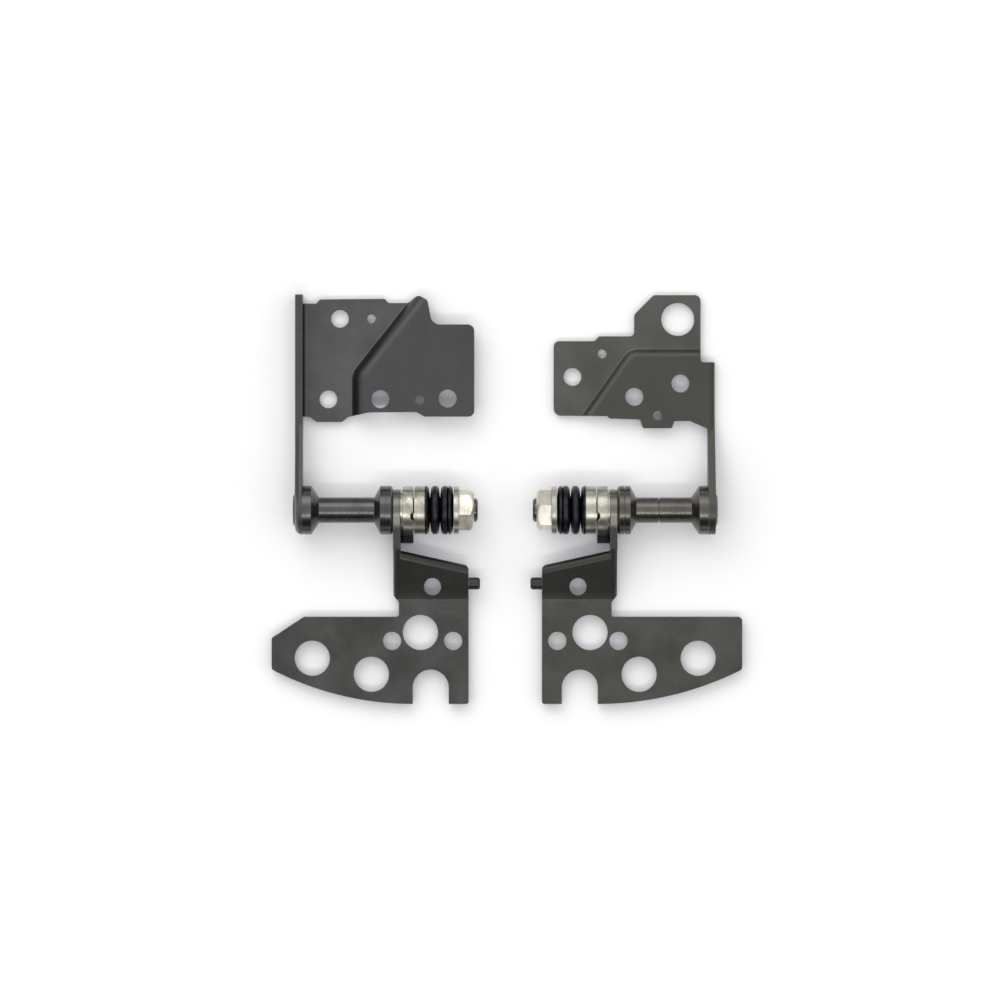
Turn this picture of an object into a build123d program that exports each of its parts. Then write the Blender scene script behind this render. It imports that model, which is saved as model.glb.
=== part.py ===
from build123d import *
import os
from math import cos, radians, sin, tan

# Laptop hinge pair, lying flat-open: lid brackets towards +Y, base brackets towards -Y, +Z up.
# Each hinge is drawn from its own shaft: u runs along the shaft from the outer face of the lid arm
# towards the nut, v runs from the shaft axis towards the lid, and z is the height above the surface
# that the pair lies on. All sizes are in millimetres and degrees.

# The pair
HANDS = ("left", "right")
SIGN = {"left": 1, "right": -1}
ARM_SPAN = 69.2          # between the outer faces of the two lid arms
AXIS_Z = 4.1             # height of the shaft axis
SHEET = 1.2              # sheet thickness of all four brackets
BEND_R = 0.4             # inside radius of the folds
BEND_LEAD = 0.3          # flat run beside the bends of a step
OUTER_BEND_R = 1.1       # outside radius where a plate turns into its flange or ear
RUN_GAP = 0.05           # running clearance between lid side and base side, radial and axial
FIT_GAP = 0.02           # radial clearance of what is fixed on the shaft

# Shaft, from the riveted head to the threaded end
RIVET_R = 2.7
RIVET_H = 0.3
SPIGOT_R = 2.1
SPIGOT_FLATS = 3.4
HEAD_R = 4.0
HEAD_LEN = 1.5
HEAD_CONE = 1.25
BARREL_R = 2.1
BARREL_LEN = 9.1
COLLAR_CONE = 1.0
COLLAR_R = 4.0
COLLAR_LEN = 2.05
COLLAR_CHAMFER = 0.3
JOURNAL_R = 1.95
JOURNAL_FLATS = 3.3
END_OUT = 0.6            # thread that shows past the nut
END_CHAMFER = 0.3
GROOVE = 0.2             # width and depth of the fine grooves turned in the right shaft
BARREL_GROOVE = 5.35     # from the start of the barrel
COLLAR_GROOVE = 0.9      # from the start of the collar

# Stack on the journal
WASHER_R = 3.3
WASHER_T = 0.4
CAM_R = 3.9
FIXED_CAM_T = 1.7
FOLLOWER_T = 1.75
RIDGE_H = 0.15           # height of the follower's ridges
RIDGE_W = 1.1            # width of a ridge at its foot
NOTCH_DEPTH = 0.4        # notches of the fixed cam
NOTCH_W = 1.7
RIDGE_LEAN = 15          # ridges and notches stand this far from vertical
LOBE_REACH = 5.5         # holding lobe of the friction washer and the fixed cam, from the axis
LOBE_R = 1.3
LOBE_DROP = 30           # the lobe points this far below the level
DISC_WAYS = (1, -1, 1, -1, 1, 1)                               # rim towards the cams, 1, or the nut, -1
DISC_R = 4.0
DISC_T = 0.62
DISC_RISE = 0.2          # cone height of one disc spring
DISC_BEVEL = 0.35        # of the rim's free corner
THRUST_R = 3.9
THRUST_T = 0.85
NUT_FLATS = 6.0
NUT_T = 2.5
NUT_TURN = -17           # how far the nut is turned from flats up
NUT_BEVEL = 0.6          # bevel over the nut's corners, along the shaft
NUT_CROWN = 0.25         # its outer face is smaller than its flats by this much all round

# Lid arm and its round eye
EYE_R = 4.0
SCREW_R = 1.47
LOCATOR_R = 0.72
BOSS_R = 2.72            # large hole in the right lid plate
LID_REACH = 35.5         # top edge of the lid brackets, from the axis

# Steps of the lid plates
STEP_ANGLE = {"left": 62, "right": 45}                        # rise of the wall between the two plates
BLANK = 200              # side of the uncut sheet, larger than any bracket

# Left lid bracket: corners as (u, v, corner radius), low plate beside the arm, raised plate inwards
LEFT_STEP = 2.2
LEFT_CREST_R = 1.0       # inside radius of the bend at the crest of the step
LEFT_LID_W = 29.5
LEFT_ARM_ROOT = 14.0     # v where the arm starts to swell towards its eye
LEFT_FLANGE_H = 4.4
LEFT_FLANGE_R = 0.9      # inside radius of the fold between low plate and flange
LEFT_CORNERS = (
    (0, 15.4, 0), (2.3, 15.4, 0.3), (3.4, 14.55, 0.5), (7.6, 14.55, 0.5), (8.7, 15.4, 0.6), (12.2, 16.1, 2.0),
    (LEFT_LID_W - 9.6, 16.15, 0.6), (LEFT_LID_W - 8.2, 15.4, 0.6), (LEFT_LID_W, 15.4, 1.0),
    (LEFT_LID_W, LID_REACH - 4.9, 1.1), (22.5, LID_REACH - 4.9, 1.6), (21.8, LID_REACH - 0.9, 0.9),
    (20.2, LID_REACH, 0.9), (18.6, LID_REACH - 1.3, 0.8), (15.3, LID_REACH - 1.3, 0.4),
    (14.7, LID_REACH - 0.6, 0.4), (4.0, LID_REACH - 0.7, 0.4), (3.4, LID_REACH - 1.4, 0.4),
    (0, LID_REACH - 1.4, 0),
)
LEFT_FOOT = ((38.85, 60.0), (9.35, 22.65), (9.35, 5.0))        # line along the foot of the step
LEFT_FOOT_R = 3.3                                              # its rounded corner
LEFT_FAR_SIDE = ((60.0, 5.0), (60.0, 60.0))                    # past the raised plate
LEFT_SCREWS = ((7.3, LID_REACH - 3.9), (5.4, 18.3), (14.0, 18.3), (LEFT_LID_W - 4.4, 18.4))
LEFT_LOCATORS = ((12.5, LID_REACH - 3.9), (LEFT_LID_W - 9.0, 18.2))

# Right lid bracket: raised plate beside the arm, low plate round it
RIGHT_STEP = 0.9
RIGHT_CREST_R = 0.4
RIGHT_LID_W = 26.6
RIGHT_ARM_ROOT = 12.6
RIGHT_FLANGE_TOP = LID_REACH - 11.1
RIGHT_CORNERS = (
    (0, 12.9, 0), (4.1, 14.7, 0.6), (6.7, 14.7, 0.4), (7.1, 13.5, 0.4), (11.9, 13.5, 0.4), (12.3, 14.95, 0.4),
    (17.3, 15.1, 0.4), (17.8, 15.5, 0.4), (RIGHT_LID_W, 15.6, 1.2), (RIGHT_LID_W, LID_REACH - 7.6, 0.9),
    (19.9, LID_REACH - 7.6, 0.4), (19.1, LID_REACH - 6.8, 0.4), (13.3, LID_REACH - 6.8, 0.8),
    (13.3, LID_REACH - 3.2, 0.9), (10.1, LID_REACH, 0.8), (2.35, LID_REACH, 1.0),
    (2.35, RIGHT_FLANGE_TOP, 0.5), (0, RIGHT_FLANGE_TOP, 0),
)
RIGHT_FOOT = ((-5.0, LID_REACH - 8.9), (14.2, LID_REACH - 8.9), (29.5, 5.0))
RIGHT_FOOT_R = 2.8
RIGHT_FAR_SIDE = ((-5.0, 5.0),)
RIGHT_SCREWS = ((RIGHT_LID_W - 3.1, 22.0), (13.3, 18.7), (5.7, 20.9))
RIGHT_LOCATORS = ((18.6, LID_REACH - 9.7), (9.5, 15.6))
RIGHT_BOSS = (6.1, LID_REACH - 4.0)

# Base bracket: along the shaft from the outer face of its ear, v from the axis
BASE_LIFT = 0.8          # underside of the boss plate above the surface
BASE_W = 12.4            # ear to inner edge
BASE_REACH = 32.0        # bottom edge of the boss plate, from the axis
FOLD_V = -14.8           # where the sloped wall leaves the boss plate
WALL_ANGLE = 24          # rise of the sloped wall
WALL_TOP_V = -6.4        # top edge of the wall at the ear
WALL_TOP_SLANT = 12.5    # the top edge falls back by this angle towards the inner edge
WALL_CORNER_R = 0.9      # where the top edge meets the inner edge
LIP_DEPTH = 2.6          # turned-down lip along the wall's top edge
LIP_R = 1.0
WALL_HOLE = (6.45, 2.2)  # up from the fold
WALL_HOLE_R = 1.4
PEG_RISE = 2.7           # up from the fold
PEG_R = 1.0
PEG_OUT = 1.9
PEG_ROUND = 0.4
EAR_R = 3.4
EAR_ROOT = 0.7           # start of the ear and of the relief corner, up from the fold
NECK = 0.9               # width of the relief corner
NECK_DROP = 0.4          # its lower end, down from the fold
TAIL_DROP = 2.8          # tail's top edge, down from the fold
TAIL_LEN = {"left": 20.1, "right": 20.65}
TAIL_CORNER = {"left": (5.3, 3.5), "right": (0.5, 0.4)}       # bevel of the tail's top corner, along u and v
TAIL_RISE = 5.7          # tail's low corner, up from the bottom edge
TAIL_LOW_R = 0.6         # its rounding
TAIL_ARC_START = 3.2     # the curved lower edge starts here, level with the bottom edge
BASE_BOSS_R = 2.9
TAIL_BOSSES = ((-13.4, 7.55), (-3.65, 4.9))                    # up from the bottom edge
PLATE_BOSS = (4.45, 3.2)                                       # up from the middle of the boss plate
BASE_SCREW_R = 1.5
BASE_SCREWS = ((-0.25, 1.8), (9.85, 1.8))                      # up from the middle of the boss plate
SLOT_CENTRE = (6.15, 2.7)                                      # up from the bottom edge
SLOT_R = 2.97

# Stations along the shaft that follow from the lengths above
HEAD_U = SHEET
CONE_U = HEAD_U + HEAD_LEN
BARREL_U = CONE_U + HEAD_CONE
COLLAR_CONE_U = BARREL_U + BARREL_LEN
COLLAR_U = COLLAR_CONE_U + COLLAR_CONE
COLLAR_END_U = COLLAR_U + COLLAR_LEN
EAR_U = COLLAR_END_U + RUN_GAP
WASHER_U = EAR_U + SHEET
FIXED_CAM_U = WASHER_U + WASHER_T
FOLLOWER_U = FIXED_CAM_U + FIXED_CAM_T + RUN_GAP + RIDGE_H
DISC_U = FOLLOWER_U + FOLLOWER_T
DISC_STEPS = [DISC_T if way == after else DISC_T + DISC_RISE for way, after in zip(DISC_WAYS, DISC_WAYS[1:])]
THRUST_U = DISC_U + sum(DISC_STEPS) + DISC_T + DISC_RISE
NUT_U = THRUST_U + THRUST_T
SHAFT_END_U = NUT_U + NUT_T + END_OUT

# The pair is centred on its own outline, and it stands on z = 0
TAIL_END_U = {hand: EAR_U - TAIL_LEN[hand] for hand in HANDS}
LEFT_FACE_X = (TAIL_END_U["right"] - TAIL_END_U["left"] - ARM_SPAN) / 2
FACE_X = {"left": LEFT_FACE_X, "right": LEFT_FACE_X + ARM_SPAN}
AXIS_Y = (BASE_REACH - LID_REACH) / 2
BASE_TOP = BASE_LIFT + SHEET
BASE_INNER_U = EAR_U + BASE_W
BASE_MIDDLE_V = (FOLD_V - BASE_REACH) / 2
EAR_ROOT_V = FOLD_V + EAR_ROOT
STRIP_U = {hand: (TAIL_END_U[hand] - SHEET, BASE_INNER_U + SHEET) for hand in HANDS}
TALL = 4 * AXIS_Z        # more than the height of any bracket


# Planes of one hinge
def plan(hand, z):
    """Plane seen from above: local x is u and local y is v. Upwards is the hand's sign times its normal."""
    return Plane(origin=(FACE_X[hand], AXIS_Y, z), x_dir=(SIGN[hand], 0, 0), z_dir=(0, 0, SIGN[hand]))


def across(hand, u, z=0):
    """Plane across the shaft, facing along u: local x is the hand's sign times v, local y is upwards."""
    return Plane(
        origin=(FACE_X[hand] + SIGN[hand] * u, AXIS_Y, z), x_dir=(0, SIGN[hand], 0), z_dir=(SIGN[hand], 0, 0)
    )


def along(hand):
    """Upright plane through the shaft axis: local x is u and local y is the height above the axis."""
    return Plane(
        origin=(FACE_X[hand], AXIS_Y, AXIS_Z), x_dir=(SIGN[hand], 0, 0), z_dir=(0, -SIGN[hand], 0)
    )


def shaft_axis(hand):
    return Axis((FACE_X[hand], AXIS_Y, AXIS_Z), (SIGN[hand], 0, 0))


def on_axis(hand, u):
    """Plane across the shaft with its origin on the axis."""
    return across(hand, u, AXIS_Z)


def save(piece, name):
    piece.part.label = name
    export_step(piece.part, f"parts/{name}.step")


os.makedirs("parts", exist_ok=True)


# Profiles shared by more than one piece
def keyed_round(radius, flats):
    """Round section with two level flats."""
    with BuildSketch() as profile:
        Circle(radius)
        Rectangle(2 * radius, flats, mode=Mode.INTERSECT)
    return profile.sketch


def flats_waste(radius, flats):
    """What is milled away to put two level flats on a round section."""
    with BuildSketch() as profile:
        Circle(radius + FIT_GAP)
        Rectangle(3 * radius, flats, mode=Mode.SUBTRACT)
    return profile.sketch


def detent_plane(hand, u):
    """Plane across a cam ridge: local x is u, local y runs along the rim, the normal follows the ridge."""
    lean = radians(RIDGE_LEAN)
    return Plane(
        origin=(FACE_X[hand] + SIGN[hand] * u, AXIS_Y, AXIS_Z),
        x_dir=(SIGN[hand], 0, 0),
        z_dir=(0, -sin(lean), cos(lean)),
    )


def detent_profile(height, width):
    """Section of a cam ridge or notch that stands on u = 0 and points towards -u, with a root to join it."""
    tip = width / 4
    with BuildSketch() as profile:
        with BuildLine():
            Polyline(
                (height, -width / 2), (0, -width / 2), (-height, -tip),
                (-height, tip), (0, width / 2), (height, width / 2), close=True,
            )
        make_face()
    return profile.sketch


def lobed_ring(hand, radius):
    """Ring on the journal with a lobe that reaches down to the base side and keeps it from turning."""
    out = LOBE_REACH - LOBE_R
    with BuildSketch() as profile:
        Circle(radius)
        with Locations((-SIGN[hand] * out, -out * tan(radians(LOBE_DROP)))):
            Circle(LOBE_R)
        make_hull()
        Circle(JOURNAL_R + RUN_GAP, mode=Mode.SUBTRACT)
    return profile.sketch


# Turned and stacked pieces
def shaft(hand):
    key_u = FOLLOWER_U - RIDGE_H
    grooves = {
        "left": (),
        "right": ((BARREL_U + BARREL_GROOVE, BARREL_R), (COLLAR_U + COLLAR_GROOVE, COLLAR_R)),
    }
    with BuildPart() as piece:
        with BuildSketch(along(hand)):
            with BuildLine():
                Polyline(
                    (-RIVET_H, 0), (-RIVET_H, RIVET_R - RIVET_H), (0, RIVET_R), (0, SPIGOT_R),
                    (HEAD_U, SPIGOT_R), (HEAD_U, HEAD_R), (CONE_U, HEAD_R), (BARREL_U, BARREL_R),
                    (COLLAR_CONE_U, BARREL_R), (COLLAR_U, COLLAR_R),
                    (COLLAR_END_U - COLLAR_CHAMFER, COLLAR_R),
                    (COLLAR_END_U, COLLAR_R - COLLAR_CHAMFER), (COLLAR_END_U, JOURNAL_R),
                    (SHAFT_END_U - END_CHAMFER, JOURNAL_R), (SHAFT_END_U, JOURNAL_R - END_CHAMFER),
                    (SHAFT_END_U, 0), close=True,
                )
            make_face()
            with Locations(*grooves[hand]):
                Rectangle(GROOVE, 2 * GROOVE, mode=Mode.SUBTRACT)
        revolve(axis=shaft_axis(hand))
        with BuildSketch(on_axis(hand, 0)):
            add(flats_waste(SPIGOT_R, SPIGOT_FLATS))
        extrude(amount=SHEET, mode=Mode.SUBTRACT)
        with BuildSketch(on_axis(hand, key_u)):
            add(flats_waste(JOURNAL_R, JOURNAL_FLATS))
        extrude(amount=NUT_U - key_u, mode=Mode.SUBTRACT)
    return piece


def friction_washer(hand):
    with BuildPart() as piece:
        with BuildSketch(on_axis(hand, WASHER_U)):
            add(lobed_ring(hand, WASHER_R))
        extrude(amount=WASHER_T)
    return piece


def fixed_cam(hand):
    with BuildPart() as piece:
        with BuildSketch(on_axis(hand, FIXED_CAM_U)):
            add(lobed_ring(hand, CAM_R))
        extrude(amount=FIXED_CAM_T)
        with BuildSketch(detent_plane(hand, FIXED_CAM_U + FIXED_CAM_T)):
            add(detent_profile(NOTCH_DEPTH, NOTCH_W))
        extrude(amount=LOBE_REACH, both=True, mode=Mode.SUBTRACT)
    return piece


def follower_cam(hand):
    with BuildPart() as piece:
        with BuildSketch(on_axis(hand, FOLLOWER_U)):
            Circle(CAM_R)
        extrude(amount=FOLLOWER_T)
        with BuildSketch(detent_plane(hand, FOLLOWER_U)):
            add(detent_profile(RIDGE_H, RIDGE_W))
        extrude(amount=CAM_R, both=True)
        with BuildSketch(on_axis(hand, FOLLOWER_U - RIDGE_H)):
            Circle(CAM_R)
            add(keyed_round(JOURNAL_R + FIT_GAP, JOURNAL_FLATS + 2 * FIT_GAP), mode=Mode.SUBTRACT)
        extrude(amount=RIDGE_H + FOLLOWER_T, mode=Mode.INTERSECT)
    return piece


def disc_spring(hand, index):
    """Coned disc. It starts where the discs before it leave room: nested ones stand one thickness apart."""
    start = DISC_U + sum(DISC_STEPS[:index])
    bore_r = JOURNAL_R + FIT_GAP
    if DISC_WAYS[index] == 1:
        seat, free, bore = start, start + DISC_T, start + DISC_RISE
        bevel = -DISC_BEVEL
    else:
        seat, free, bore = start + DISC_T + DISC_RISE, start + DISC_RISE, start + DISC_T
        bevel = DISC_BEVEL
    with BuildPart() as piece:
        with BuildSketch(along(hand)):
            with BuildLine():
                Polyline(
                    (bore, bore_r), (seat, DISC_R), (free + bevel, DISC_R), (free, DISC_R - DISC_BEVEL),
                    (bore + free - seat, bore_r), close=True,
                )
            make_face()
        revolve(axis=shaft_axis(hand))
    return piece


def thrust_washer(hand):
    with BuildPart() as piece:
        with BuildSketch(on_axis(hand, THRUST_U)):
            Circle(THRUST_R)
            add(keyed_round(JOURNAL_R + FIT_GAP, JOURNAL_FLATS + 2 * FIT_GAP), mode=Mode.SUBTRACT)
        extrude(amount=THRUST_T)
    return piece


def nut(hand):
    end = NUT_U + NUT_T
    with BuildPart() as piece:
        with BuildSketch(on_axis(hand, NUT_U)):
            RegularPolygon(NUT_FLATS / 2, side_count=6, major_radius=False, rotation=NUT_TURN)
            Circle(JOURNAL_R + FIT_GAP, mode=Mode.SUBTRACT)
        extrude(amount=NUT_T)
        with BuildSketch(along(hand)):
            with BuildLine():
                Polyline(
                    (NUT_U, 0), (NUT_U, NUT_FLATS), (end - NUT_BEVEL, NUT_FLATS / 2 / cos(radians(30))),
                    (end, NUT_FLATS / 2 - NUT_CROWN), (end, 0), close=True,
                )
            make_face()
        revolve(axis=shaft_axis(hand), mode=Mode.INTERSECT)
    return piece


# Lid brackets
def raised_side(foot, foot_r, far_side, past):
    """Ground on the raised side of a step, from its foot line and past it by so much."""
    with BuildSketch() as ground:
        with BuildLine():
            FilletPolyline(*foot, radius=foot_r)
            Polyline(foot[-1], *far_side, foot[0])
        make_face()
        offset(amount=past, kind=Kind.INTERSECTION, mode=Mode.REPLACE)
    return ground.sketch


def step_band(hand, step, crest_r, foot, foot_r):
    """Band of sheet that climbs from the low plate to the raised one, swept along the foot line."""
    turn = tan(radians(STEP_ANGLE[hand]) / 2)
    crest = step / tan(radians(STEP_ANGLE[hand]))
    start = -BEND_R * turn - BEND_LEAD
    end = crest + (crest_r + SHEET) * turn + BEND_LEAD
    over = [(start, SHEET), (0, SHEET), (crest, step + SHEET), (end, step + SHEET)]
    under = [(end, step), (crest + SHEET * turn, step), (SHEET * turn, 0), (start, 0)]
    with BuildPart() as band:
        with BuildLine(plan(hand, 0)) as path:
            FilletPolyline(*foot, radius=foot_r)
        heading = path.line % 0
        with BuildSketch(Plane(origin=path.line @ 0, x_dir=Vector(0, 0, 1).cross(heading), z_dir=heading)):
            with BuildLine():
                FilletPolyline(
                    *over, *under, close=True,
                    radius=(0, BEND_R, crest_r + SHEET, 0, 0, crest_r, BEND_R + SHEET, 0),
                )
            make_face()
        sweep()
    return band.part


def stepped_sheet(hand, step, crest_r, corners, foot, foot_r, far_side, holes):
    """Sheet that steps up across its foot line, cut to its outline and pierced."""
    up = SIGN[hand]
    turn = tan(radians(STEP_ANGLE[hand]) / 2)
    crest_end = step / tan(radians(STEP_ANGLE[hand])) + (crest_r + SHEET) * turn
    band = step_band(hand, step, crest_r, foot, foot_r)
    with BuildPart() as sheet:
        with BuildSketch(plan(hand, 0)):
            Rectangle(BLANK, BLANK)
            add(raised_side(foot, foot_r, far_side, BEND_R * turn), mode=Mode.SUBTRACT)
        extrude(amount=up * SHEET)
        with BuildSketch(plan(hand, step)):
            add(raised_side(foot, foot_r, far_side, -crest_end))
        extrude(amount=up * SHEET)
        add(band)
        with BuildSketch(plan(hand, 0)):
            with BuildLine():
                FilletPolyline(
                    *[(u, v) for u, v, r in corners], radius=[r for u, v, r in corners], close=True
                )
            make_face()
            for radius, places in holes:
                with Locations(*places):
                    Circle(radius, mode=Mode.SUBTRACT)
        extrude(amount=up * TALL, mode=Mode.INTERSECT)
    return sheet.part


def lid_arm(hand, root_v, flange_end_v, flange_h):
    """Side flange and the arm that swells from it to a round eye, with the keyed hole for the shaft."""
    side = SIGN[hand]
    with BuildSketch() as profile:
        with Locations((0, AXIS_Z)):
            Circle(EYE_R)
        with Locations((side * root_v, flange_h / 2)):
            Rectangle(BEND_R, flange_h)
        make_hull()
        with Locations((side * (root_v + flange_end_v) / 2, flange_h / 2)):
            Rectangle(flange_end_v - root_v, flange_h)
        with Locations((0, AXIS_Z)):
            add(keyed_round(SPIGOT_R + FIT_GAP, SPIGOT_FLATS + 2 * FIT_GAP), mode=Mode.SUBTRACT)
    return profile.sketch


def fold_edges(piece, hand, u, z):
    """Edges along v at one place of a bracket's cross-section."""
    x = FACE_X[hand] + SIGN[hand] * u
    lengthwise = piece.edges().filter_by(Axis.Y)
    return lengthwise.filter_by(lambda e: abs(e.center().X - x) < FIT_GAP and abs(e.center().Z - z) < FIT_GAP)


def left_lid_bracket():
    """The flange is turned up from the low plate."""
    hand = "left"
    sheet = stepped_sheet(
        hand, LEFT_STEP, LEFT_CREST_R, LEFT_CORNERS, LEFT_FOOT, LEFT_FOOT_R, LEFT_FAR_SIDE,
        ((SCREW_R, LEFT_SCREWS), (LOCATOR_R, LEFT_LOCATORS)),
    )
    with BuildPart() as piece:
        add(sheet)
        with BuildSketch(across(hand, 0)):
            add(lid_arm(hand, LEFT_ARM_ROOT, LID_REACH, LEFT_FLANGE_H))
        extrude(amount=SHEET)
        fillet(fold_edges(piece, hand, SHEET, SHEET), LEFT_FLANGE_R)
        fillet(fold_edges(piece, hand, 0, 0), OUTER_BEND_R)
    return piece


def right_lid_bracket():
    """The flange is turned down from the raised plate."""
    hand = "right"
    sheet = stepped_sheet(
        hand, RIGHT_STEP, RIGHT_CREST_R, RIGHT_CORNERS, RIGHT_FOOT, RIGHT_FOOT_R, RIGHT_FAR_SIDE,
        ((SCREW_R, RIGHT_SCREWS), (LOCATOR_R, RIGHT_LOCATORS), (BOSS_R, (RIGHT_BOSS,))),
    )
    with BuildPart() as piece:
        add(sheet)
        with BuildSketch(across(hand, 0)):
            add(lid_arm(hand, RIGHT_ARM_ROOT, RIGHT_FLANGE_TOP, RIGHT_STEP + SHEET))
        extrude(amount=SHEET)
        fillet(fold_edges(piece, hand, SHEET, RIGHT_STEP), BEND_R)
        fillet(fold_edges(piece, hand, 0, RIGHT_STEP + SHEET), OUTER_BEND_R)
    return piece


# Base brackets
def wall_z(v):
    """Height of the sloped wall's upper face."""
    return BASE_TOP + (v - FOLD_V) * tan(radians(WALL_ANGLE))


def ear_bend_plane(hand):
    """Plane across the bend from wall to ear: its normal runs up the wall from the fold, local x is u."""
    slope = radians(WALL_ANGLE)
    return Plane(
        origin=(FACE_X[hand] + SIGN[hand] * EAR_U, AXIS_Y + FOLD_V, BASE_TOP),
        x_dir=(SIGN[hand], 0, 0),
        z_dir=(0, cos(slope), sin(slope)),
    )


def top_edge_v(u):
    """The wall's top edge, which falls back from the ear towards the inner edge."""
    return WALL_TOP_V - (u - EAR_U) * tan(radians(WALL_TOP_SLANT))


def beside_top_edge(hand, ahead, behind):
    """Ground along the wall's top edge, so far ahead of it and behind it."""
    start_u, end_u = STRIP_U[hand]
    with BuildSketch() as ground:
        with BuildLine():
            Polyline(
                (start_u, top_edge_v(start_u) + ahead), (end_u, top_edge_v(end_u) + ahead),
                (end_u, top_edge_v(end_u) - behind), (start_u, top_edge_v(start_u) - behind), close=True,
            )
        make_face()
    return ground.sketch


def top_lip(hand):
    """Lip turned down along the wall's top edge. It starts inside the sheet and stands ahead of the edge."""
    side = SIGN[hand]
    start_u, end_u = STRIP_U[hand]
    with BuildPart() as lip:
        with BuildSketch(across(hand, start_u)):
            with BuildLine():
                Polyline(
                    (side * FOLD_V, BASE_TOP - SHEET / 2), (side * TALL, wall_z(TALL) - SHEET / 2),
                    (side * TALL, wall_z(TALL) - LIP_DEPTH), (side * FOLD_V, BASE_TOP - LIP_DEPTH),
                    close=True,
                )
            make_face()
        extrude(amount=end_u - start_u)
        with BuildSketch(plan(hand, -TALL)):
            add(beside_top_edge(hand, SHEET, SHEET / cos(radians(WALL_TOP_SLANT))))
        extrude(amount=3 * side * TALL, mode=Mode.INTERSECT)
    return lip.part


def folded_sheet(hand):
    """Boss plate, sloped wall and lip as one bent strip, larger than the outline that trims it."""
    side = SIGN[hand]
    slope = radians(WALL_ANGLE)
    slant = tan(radians(WALL_TOP_SLANT))
    start_u, end_u = STRIP_U[hand]
    start_v = -BASE_REACH - SHEET
    lip = top_lip(hand)
    with BuildPart() as sheet:
        with BuildSketch(across(hand, start_u)):
            with BuildLine():
                FilletPolyline(
                    (side * start_v, BASE_LIFT), (side * (FOLD_V + SHEET * tan(slope / 2)), BASE_LIFT),
                    (side * TALL, wall_z(TALL) - SHEET / cos(slope)), (side * TALL, wall_z(TALL)),
                    (side * FOLD_V, BASE_TOP), (side * start_v, BASE_TOP),
                    radius=(0, BEND_R + SHEET, 0, 0, BEND_R, 0), close=True,
                )
            make_face()
        extrude(amount=end_u - start_u)
        add(lip)
        with BuildSketch(plan(hand, -TALL)):
            add(beside_top_edge(hand, 3 * TALL, 0))
        extrude(amount=3 * side * TALL, mode=Mode.SUBTRACT)
        along_the_lip = Axis((0, 0, 0), (side, -slant, -slant * tan(slope)))
        fillet(sheet.edges().filter_by(along_the_lip).sort_by(Axis.Z)[-1], LIP_R)
    return sheet.part


def ear(hand):
    """Ear turned down from the wall's outer edge, with the running bore for the journal."""
    side = SIGN[hand]
    with BuildSketch() as profile:
        with Locations((0, AXIS_Z)):
            Circle(EAR_R)
        with BuildLine():
            Polyline(
                (side * EAR_ROOT_V, BASE_LIFT), (side * EAR_ROOT_V, wall_z(EAR_ROOT_V)),
                (side * WALL_TOP_V, wall_z(WALL_TOP_V)), close=True,
            )
        make_face()
        make_hull()
        with Locations((0, AXIS_Z)):
            Circle(JOURNAL_R + RUN_GAP, mode=Mode.SUBTRACT)
    return profile.sketch


def base_outline(hand):
    """The bracket seen from above, with its holes and its open slot."""
    tail_u = TAIL_END_U[hand]
    tail_v = FOLD_V - TAIL_DROP
    corner_u, corner_v = TAIL_CORNER[hand]
    neck_u = EAR_U + NECK
    bosses = [(EAR_U + u, rise - BASE_REACH) for u, rise in TAIL_BOSSES]
    bosses.append((EAR_U + PLATE_BOSS[0], BASE_MIDDLE_V + PLATE_BOSS[1]))
    screws = [(EAR_U + u, BASE_MIDDLE_V + rise) for u, rise in BASE_SCREWS]
    slot_u, slot_rise = EAR_U + SLOT_CENTRE[0], SLOT_CENTRE[1]
    arc_start = (EAR_U + TAIL_ARC_START, -BASE_REACH)
    tail_low = (tail_u, TAIL_RISE - BASE_REACH)
    with BuildSketch() as outline:
        with BuildLine():
            FilletPolyline(
                arc_start, (BASE_INNER_U, -BASE_REACH), (BASE_INNER_U, top_edge_v(BASE_INNER_U)),
                (EAR_U, WALL_TOP_V), (EAR_U, EAR_ROOT_V), (neck_u, FOLD_V - NECK_DROP), (neck_u, tail_v),
                (tail_u + corner_u, tail_v), (tail_u, tail_v - corner_v), tail_low,
                radius=(BEND_R, WALL_CORNER_R, 0, 0, BEND_R, BEND_R, BEND_R, BEND_R),
            )
            TangentArc(arc_start, tail_low, tangent=(-1, 0))
        make_face()
        fillet(outline.vertices().sort_by_distance(tail_low)[0], TAIL_LOW_R)
        with Locations(*bosses):
            Circle(BASE_BOSS_R, mode=Mode.SUBTRACT)
        with Locations(*screws):
            Circle(BASE_SCREW_R, mode=Mode.SUBTRACT)
        with Locations((EAR_U + WALL_HOLE[0], FOLD_V + WALL_HOLE[1])):
            Circle(WALL_HOLE_R, mode=Mode.SUBTRACT)
        with Locations((slot_u, slot_rise - BASE_REACH)):
            Circle(SLOT_R, mode=Mode.SUBTRACT)
        with Locations((slot_u, slot_rise / 2 - BASE_REACH)):
            Rectangle(2 * SLOT_R, slot_rise, mode=Mode.SUBTRACT)
    return outline.sketch


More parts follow.
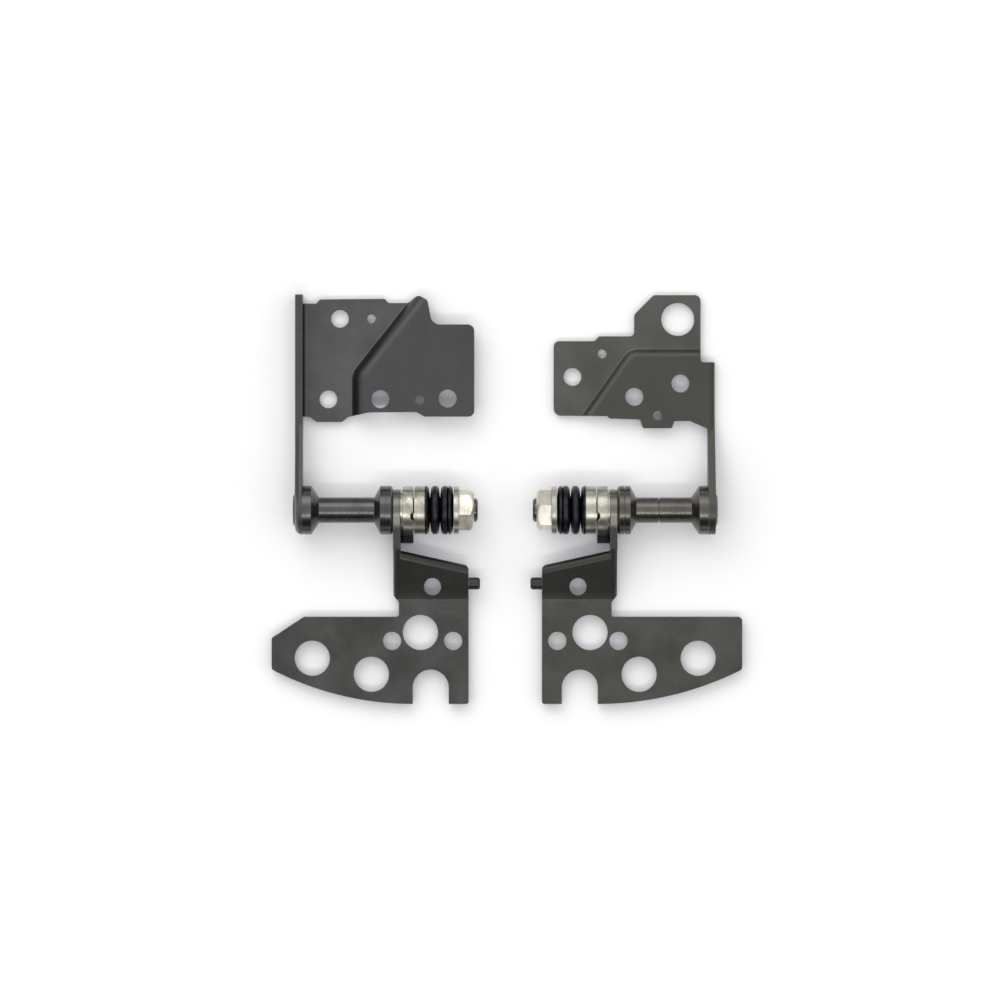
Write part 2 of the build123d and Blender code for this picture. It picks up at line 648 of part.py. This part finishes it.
def base_bracket(hand):
    side = SIGN[hand]
    peg_v = FOLD_V + PEG_RISE
    sheet = folded_sheet(hand)
    with BuildPart() as piece:
        add(sheet)
        with BuildSketch(plan(hand, 0)):
            add(base_outline(hand))
        extrude(amount=side * TALL, mode=Mode.INTERSECT)
        with BuildSketch(across(hand, EAR_U)):
            add(ear(hand))
        extrude(amount=SHEET)
        with BuildSketch(ear_bend_plane(hand)):
            with Locations((OUTER_BEND_R / 2, side * OUTER_BEND_R / 2)):
                Rectangle(OUTER_BEND_R, OUTER_BEND_R)
            with Locations((OUTER_BEND_R, side * OUTER_BEND_R)):
                Circle(OUTER_BEND_R, mode=Mode.SUBTRACT)
        extrude(amount=(WALL_TOP_V - FOLD_V) / cos(radians(WALL_ANGLE)), mode=Mode.SUBTRACT)
        with BuildSketch(across(hand, BASE_INNER_U)):
            with Locations((side * peg_v, wall_z(peg_v) - SHEET / 2)):
                Circle(PEG_R)
        extrude(amount=PEG_OUT)
        fillet(piece.faces().sort_by(shaft_axis(hand))[-1].edges(), PEG_ROUND)
    return piece


# The parts
save(left_lid_bracket(), "left_lid_bracket")
save(right_lid_bracket(), "right_lid_bracket")
for hand in HANDS:
    save(shaft(hand), f"{hand}_shaft")
    save(base_bracket(hand), f"{hand}_base_bracket")
    save(friction_washer(hand), f"{hand}_friction_washer")
    save(fixed_cam(hand), f"{hand}_fixed_cam")
    save(follower_cam(hand), f"{hand}_follower_cam")
    for index in range(len(DISC_WAYS)):
        save(disc_spring(hand, index), f"{hand}_disc_spring_{index + 1}")
    save(thrust_washer(hand), f"{hand}_thrust_washer")
    save(nut(hand), f"{hand}_nut")
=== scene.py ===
import math
import bpy
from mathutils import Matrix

# Looks of the laptop hinge pair. Lengths are in metres unless a name says mm.
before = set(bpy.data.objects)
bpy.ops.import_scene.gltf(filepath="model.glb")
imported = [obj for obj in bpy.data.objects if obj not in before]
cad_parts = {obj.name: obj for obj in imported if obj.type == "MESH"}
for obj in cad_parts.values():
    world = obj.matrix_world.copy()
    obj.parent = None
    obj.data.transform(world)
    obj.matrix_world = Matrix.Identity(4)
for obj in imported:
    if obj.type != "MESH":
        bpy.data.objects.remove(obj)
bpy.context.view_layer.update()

MM = 0.001
HANDS = ("left", "right")
DISC_COUNT = 6           # disc springs on each shaft
PIVOT_RIM_MM = 3.6       # radius about the axis inside which a bracket is coloured lighter and made glossier
CAM_RIM_MM = 3.9         # radius of the cams, outside which only their lobes reach; these are painted dark as painted shade
RIM_FADE_MM = 0.4
LID_TOP_MM = 1.3         # just over the low sheet of a lid bracket, where the painted shade begins
BASE_TOP_MM = 2.1        # just over the low sheet of a base bracket, where the painted shade begins
LIFT_FADE_MM = 0.5


def middle(node):
    """Middle of a node's box. On a shaft it lies on the hinge axis."""
    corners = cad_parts[node].bound_box
    return tuple((min(side) + max(side)) / 2 for side in zip(*corners))


AXIS = middle("left_shaft")


def srgb(red, green, blue):
    """A colour as it is read off a screen, 0 to 255, as the linear colour that a shader takes."""
    return tuple(
        c / 12.92 if c <= 0.04045 else ((c + 0.055) / 1.055) ** 2.4
        for c in (red / 255, green / 255, blue / 255)
    ) + (1.0,)


class Nodes:
    """A node tree, with short calls for the nodes that the looks share."""

    def __init__(self, tree):
        self.tree = tree

    def node(self, kind, inputs=(), **settings):
        """A node with its settings, and its inputs as (socket, value or output to link)."""
        made = self.tree.nodes.new(kind)
        for name, value in settings.items():
            setattr(made, name, value)
        for socket, value in inputs:
            if isinstance(value, bpy.types.NodeSocket):
                self.tree.links.new(value, made.inputs[socket])
            else:
                made.inputs[socket].default_value = value
        return made

    def span(self, value, low, high, to_low, to_high):
        """The value's range from low to high spread over to_low to to_high."""
        made = self.node("ShaderNodeMapRange", [
            ("Value", value), ("From Min", low), ("From Max", high), ("To Min", to_low), ("To Max", to_high),
        ])
        return made.outputs[0]

    def math(self, operation, a, b):
        return self.node("ShaderNodeMath", [(0, a), (1, b)], operation=operation).outputs[0]

    def vector(self, operation, a, b):
        return self.node("ShaderNodeVectorMath", [(0, a), (1, b)], operation=operation)

    def mix(self, factor, a, b):
        """Colour a where the factor is 0 and b where it is 1."""
        made = self.node("ShaderNodeMix", [(0, factor), (6, a), (7, b)], data_type="RGBA")
        return made.outputs[2]


class Look(Nodes):
    """A metal material, with short calls for its patterns."""

    def __init__(self, name):
        self.material = bpy.data.materials.new(name)
        self.material.use_nodes = True
        super().__init__(self.material.node_tree)
        self.shader = self.tree.nodes["Principled BSDF"]
        self.shader.inputs["Metallic"].default_value = 1.0
        self.place = self.node("ShaderNodeTexCoord").outputs["Object"]

    def noise(self, size_mm, stretch=(1, 1, 1), detail=2.0, low=0.35, high=0.65):
        """Cloudy pattern from 0 to 1, with blotches about size_mm across, times stretch along each axis."""
        scale = tuple(1 / (MM * size_mm * s) for s in stretch)
        mapped = self.node("ShaderNodeMapping", [("Vector", self.place), ("Scale", scale)])
        noise = self.node(
            "ShaderNodeTexNoise", [("Vector", mapped.outputs[0]), ("Scale", 1.0), ("Detail", detail)]
        )
        return self.span(noise.outputs[0], low, high, 0.0, 1.0)

    def beyond(self, radius_mm):
        """0 inside a radius about the hinge axis and 1 outside it."""
        from_axis = self.vector("SUBTRACT", self.place, AXIS).outputs[0]
        across = self.vector("MULTIPLY", from_axis, (0.0, 1.0, 1.0)).outputs[0]
        radius = self.vector("DISTANCE", across, (0.0, 0.0, 0.0)).outputs["Value"]
        return self.span(radius, radius_mm * MM, (radius_mm + RIM_FADE_MM) * MM, 0.0, 1.0)

    def rounded(self, radius_mm):
        """Normal that softens the sharp edges of the sheet and the turned pieces."""
        return self.node("ShaderNodeBevel", [("Radius", radius_mm * MM)], samples=6).outputs[0]

    def edges(self, rounded, low, high):
        """1 along edges and 0 on the faces between them."""
        face = self.node("ShaderNodeNewGeometry").outputs["Normal"]
        turn = self.vector("DOT_PRODUCT", rounded, face).outputs["Value"]
        return self.span(turn, low, high, 1.0, 0.0)

    def bump(self, height, depth_mm, strength, normal):
        made = self.node(
            "ShaderNodeBump",
            [("Height", height), ("Distance", depth_mm * MM), ("Strength", strength), ("Normal", normal)],
        )
        return made.outputs[0]

    def finish(self, colour, roughness, normal):
        for socket, value in (("Base Color", colour), ("Roughness", roughness), ("Normal", normal)):
            self.tree.links.new(value, self.shader.inputs[socket])
        return self.material


def bracket_steel(name, light, dark, painted_shade_tone, low_mm):
    """Rolled sheet with a dark satin plating, lighter along its cut edges, partly wear and partly painted
    highlight, and lighter and glossier round the pivot.

    A painted shade darkens all that stands above the low sheet, such as the raised plate, walls, ear and
    lip, for the shade these faces take.
    """
    look = Look(name)
    cloud = look.noise(6.0, detail=5.0)
    grain = look.noise(0.3, low=0.3, high=0.7)
    rounded = look.rounded(0.2)
    edge = look.edges(rounded, 0.80, 0.985)
    plate = look.beyond(PIVOT_RIM_MM)
    height = look.node("ShaderNodeSeparateXYZ", [(0, look.place)]).outputs["Z"]
    # Painted shade: above the low sheet the colour goes towards the darker shade tone.
    painted_shade_mask = look.span(height, low_mm * MM, (low_mm + LIFT_FADE_MM) * MM, 0.0, 0.8)
    colour = look.mix(painted_shade_mask, look.mix(cloud, dark, light), painted_shade_tone)
    colour = look.mix(look.math("MULTIPLY", grain, 0.12), colour, srgb(104, 104, 102))
    # Within the pivot radius the sheet is coloured lighter; below it is also made glossier.
    colour = look.mix(plate, srgb(112, 110, 104), colour)
    # Cut edges lighter: partly wear, partly a painted highlight for the light the edges catch.
    colour = look.mix(look.math("MULTIPLY", edge, 0.75), colour, srgb(150, 150, 147))
    satin = look.span(cloud, 0.0, 1.0, 0.38, 0.46)
    roughness = look.math("ADD", satin, look.span(plate, 0.0, 1.0, -0.1, 0.0))
    return look.finish(colour, roughness, look.bump(grain, 0.008, 0.4, rounded))


def shaft_steel(name, light, dark):
    """Turned steel, dark plated, with the fine rings that the lathe leaves."""
    look = Look(name)
    rings = look.noise(0.12, stretch=(1, 60, 60), detail=3.0, low=0.3, high=0.7)
    cloud = look.noise(2.6, detail=3.0)
    rounded = look.rounded(0.1)
    edge = look.edges(rounded, 0.82, 0.985)
    colour = look.mix(cloud, dark, light)
    colour = look.mix(look.math("MULTIPLY", rings, 0.06), colour, srgb(132, 132, 130))
    colour = look.mix(look.math("MULTIPLY", edge, 0.4), colour, srgb(150, 149, 145))
    roughness = look.span(rings, 0.0, 1.0, 0.25, 0.28)
    return look.finish(colour, roughness, rounded)


def cam_nickel(name, light, dark, wear):
    """Nickel plate, scuffed a little and polished on the high spots. Beyond the cam radius the lobes beside
    the ear are painted dark, a painted shade.
    """
    look = Look(name)
    scuff = look.noise(1.5, stretch=(1, 1.4, 1.4), detail=4.0, low=0.38, high=0.68)
    polish = look.noise(0.7, stretch=(1.4, 1, 1), detail=3.0, low=0.58, high=0.72)
    rounded = look.rounded(0.16)
    edge = look.edges(rounded, 0.82, 0.985)
    lobe_shade_mask = look.beyond(CAM_RIM_MM)
    colour = look.mix(look.math("MULTIPLY", scuff, wear), light, dark)
    colour = look.mix(look.math("MULTIPLY", polish, 0.45), colour, srgb(236, 234, 222))
    colour = look.mix(look.math("MULTIPLY", edge, 0.35), colour, srgb(230, 228, 216))
    # Painted shade: outside the cam radius the lobes are coloured dark for the shade they sit in.
    colour = look.mix(lobe_shade_mask, colour, srgb(84, 83, 78))
    dull = look.math("SUBTRACT", scuff, look.math("MULTIPLY", polish, 0.6))
    roughness = look.span(dull, -0.6, 1.0, 0.22, 0.42)
    return look.finish(colour, roughness, look.bump(scuff, 0.02, 0.3, rounded))


def spring_steel(name):
    """Black oxide over hardened spring steel, with a faint blue and rubbed rims."""
    look = Look(name)
    cloud = look.noise(1.2, detail=4.0)
    rings = look.noise(0.08, stretch=(1, 40, 40), low=0.3, high=0.7)
    rounded = look.rounded(0.12)
    edge = look.edges(rounded, 0.80, 0.985)
    colour = look.mix(cloud, srgb(34, 35, 39), srgb(54, 55, 60))
    colour = look.mix(look.math("MULTIPLY", edge, 0.35), colour, srgb(104, 105, 110))
    roughness = look.span(cloud, 0.0, 1.0, 0.3, 0.42)
    return look.finish(colour, roughness, look.bump(rings, 0.006, 0.5, rounded))


CAM = cam_nickel("cam_nickel", srgb(180, 178, 165), srgb(136, 133, 122), wear=0.8)
WASHER = cam_nickel("washer_nickel", srgb(182, 181, 173), srgb(146, 144, 135), wear=0.7)
NUT = cam_nickel("nut_nickel", srgb(226, 221, 206), srgb(184, 178, 163), wear=0.7)
SPRING = spring_steel("spring_steel")
LOOKS = {
    "friction_washer": WASHER, "fixed_cam": CAM, "follower_cam": CAM,
    "thrust_washer": WASHER, "nut": NUT,
}
LOOKS.update({f"disc_spring_{i + 1}": SPRING for i in range(DISC_COUNT)})
SHAFTS = {
    "left_shaft": shaft_steel("left_shaft_steel", srgb(88, 88, 88), srgb(76, 76, 76)),
    "right_shaft": shaft_steel("right_shaft_steel", srgb(100, 98, 92), srgb(86, 84, 78)),
}
# Per bracket: light and dark tones of the plating, then the painted shade tone for what stands above the low
# sheet.
BRACKETS = {
    "left_lid_bracket": bracket_steel(
        "left_lid_steel", srgb(90, 90, 92), srgb(78, 78, 79), srgb(72, 72, 72), LID_TOP_MM
    ),
    "right_lid_bracket": bracket_steel(
        "right_lid_steel", srgb(90, 90, 86), srgb(78, 79, 75), srgb(72, 72, 68), LID_TOP_MM
    ),
    "left_base_bracket": bracket_steel(
        "left_base_steel", srgb(80, 80, 79), srgb(64, 64, 63), srgb(58, 58, 56), BASE_TOP_MM
    ),
    "right_base_bracket": bracket_steel(
        "right_base_steel", srgb(80, 80, 76), srgb(66, 66, 62), srgb(54, 53, 51), BASE_TOP_MM
    ),
}


def dress(node, material):
    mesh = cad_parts[node].data
    mesh.materials.clear()
    mesh.materials.append(material)


for node, material in (BRACKETS | SHAFTS).items():
    dress(node, material)
for hand in HANDS:
    for part, material in LOOKS.items():
        dress(f"{hand}_{part}", material)


def floor():
    """Pale paper that the pair lies on. A little glow takes it to white where no shadow falls."""
    half = 3.0
    just_below = -0.02 * MM
    paper_white = (0.925, 0.915, 0.895, 1.0)
    glow_tint = (0.55, 0.7, 1.0, 1.0)
    glow_level = 0.07
    mesh = bpy.data.meshes.new("floor")
    corners = [(-half, -half), (half, -half), (half, half), (-half, half)]
    mesh.from_pydata([(x, y, just_below) for x, y in corners], [], [(0, 1, 2, 3)])
    made = bpy.data.objects.new("floor", mesh)
    bpy.context.collection.objects.link(made)
    paper = bpy.data.materials.new("floor_paper")
    paper.use_nodes = True
    paper.node_tree.nodes.clear()
    nodes = Nodes(paper.node_tree)
    path = nodes.node("ShaderNodeLightPath").outputs
    mirrored = nodes.math("MAXIMUM", path["Is Glossy Ray"], path["Is Transmission Ray"])
    seen = nodes.math("MAXIMUM", path["Is Camera Ray"], mirrored)
    level = nodes.math("MULTIPLY", seen, glow_level)
    glow = nodes.node("ShaderNodeEmission", [("Color", glow_tint), ("Strength", level)])
    diffuse = nodes.node("ShaderNodeBsdfDiffuse", [("Color", paper_white)])
    both = nodes.node("ShaderNodeAddShader", [(0, diffuse.outputs[0]), (1, glow.outputs[0])])
    nodes.node("ShaderNodeOutputMaterial", [("Surface", both.outputs[0])])
    mesh.materials.append(paper)


def studio():
    """Pale room: bright overhead, dimmer walls, a dark panel high over the front and a pale horizon."""
    ceiling_level, wall_level, panel_level = 0.97, 0.3, 0.1
    world = bpy.data.worlds.new("studio")
    bpy.context.scene.world = world
    world.use_nodes = True
    world.node_tree.nodes.clear()
    nodes = Nodes(world.node_tree)
    place = nodes.node("ShaderNodeTexCoord").outputs["Generated"]
    split = nodes.node("ShaderNodeSeparateXYZ", [(0, place)]).outputs
    front = nodes.span(split["Y"], -0.72, -0.42, 1.0, 0.0)
    above_horizon = nodes.span(split["Z"], 0.04, 0.1, 0.0, 1.0)
    below_ceiling = nodes.span(split["Z"], 0.15, 0.42, 1.0, 0.0)
    panel = nodes.span(nodes.math("MULTIPLY", front, above_horizon), 0.0, 1.0, 1.0, panel_level)
    wall = nodes.math("MULTIPLY", below_ceiling, above_horizon)
    walls = nodes.span(wall, 0.0, 1.0, ceiling_level, wall_level)
    strength = nodes.math("MINIMUM", panel, walls)
    room = nodes.node("ShaderNodeBackground", [("Color", (1.0, 1.0, 1.0, 1.0)), ("Strength", strength)])
    nodes.node("ShaderNodeOutputWorld", [("Surface", room.outputs[0])])


def lamp(name, tilt, turn, size, size_y, energy, distance=1.2):
    """Soft box over the object: degrees of tilt from overhead to the front, and of turn about Z."""
    data = bpy.data.lights.new(name, "AREA")
    data.shape = "RECTANGLE"
    data.size = size
    data.size_y = size_y
    data.energy = energy
    made = bpy.data.objects.new(name, data)
    bpy.context.collection.objects.link(made)
    aside = distance * math.sin(math.radians(tilt))
    turned = math.radians(turn)
    made.location = (
        aside * math.sin(turned), -aside * math.cos(turned), distance * math.cos(math.radians(tilt))
    )
    made.rotation_euler = (-made.location).to_track_quat("-Z", "Y").to_euler()
    made.visible_camera = False


def camera():
    """Straight down, from far enough that the view is nearly level across the pair."""
    data = bpy.data.cameras.new("camera")
    made = bpy.data.objects.new("camera", data)
    bpy.context.collection.objects.link(made)
    height = 1.0
    frame_width = 165.0 * MM
    centre_x, centre_y = -1.14 * MM, -0.09 * MM
    sheet_height = 2.0 * MM
    data.sensor_width = 36.0
    data.lens = data.sensor_width * height / frame_width
    made.location = (centre_x, centre_y, height + sheet_height)
    made.rotation_euler = (0, 0, 0)
    data.clip_start = 0.01
    data.clip_end = 20.0
    bpy.context.scene.camera = made


floor()
studio()
lamp("key", tilt=-48, turn=25, size=1.0, size_y=0.8, energy=3.8)
lamp("strip", tilt=27, turn=0, size=0.9, size_y=0.1, energy=2.2)
camera()
bpy.context.scene.view_settings.view_transform = "Standard"
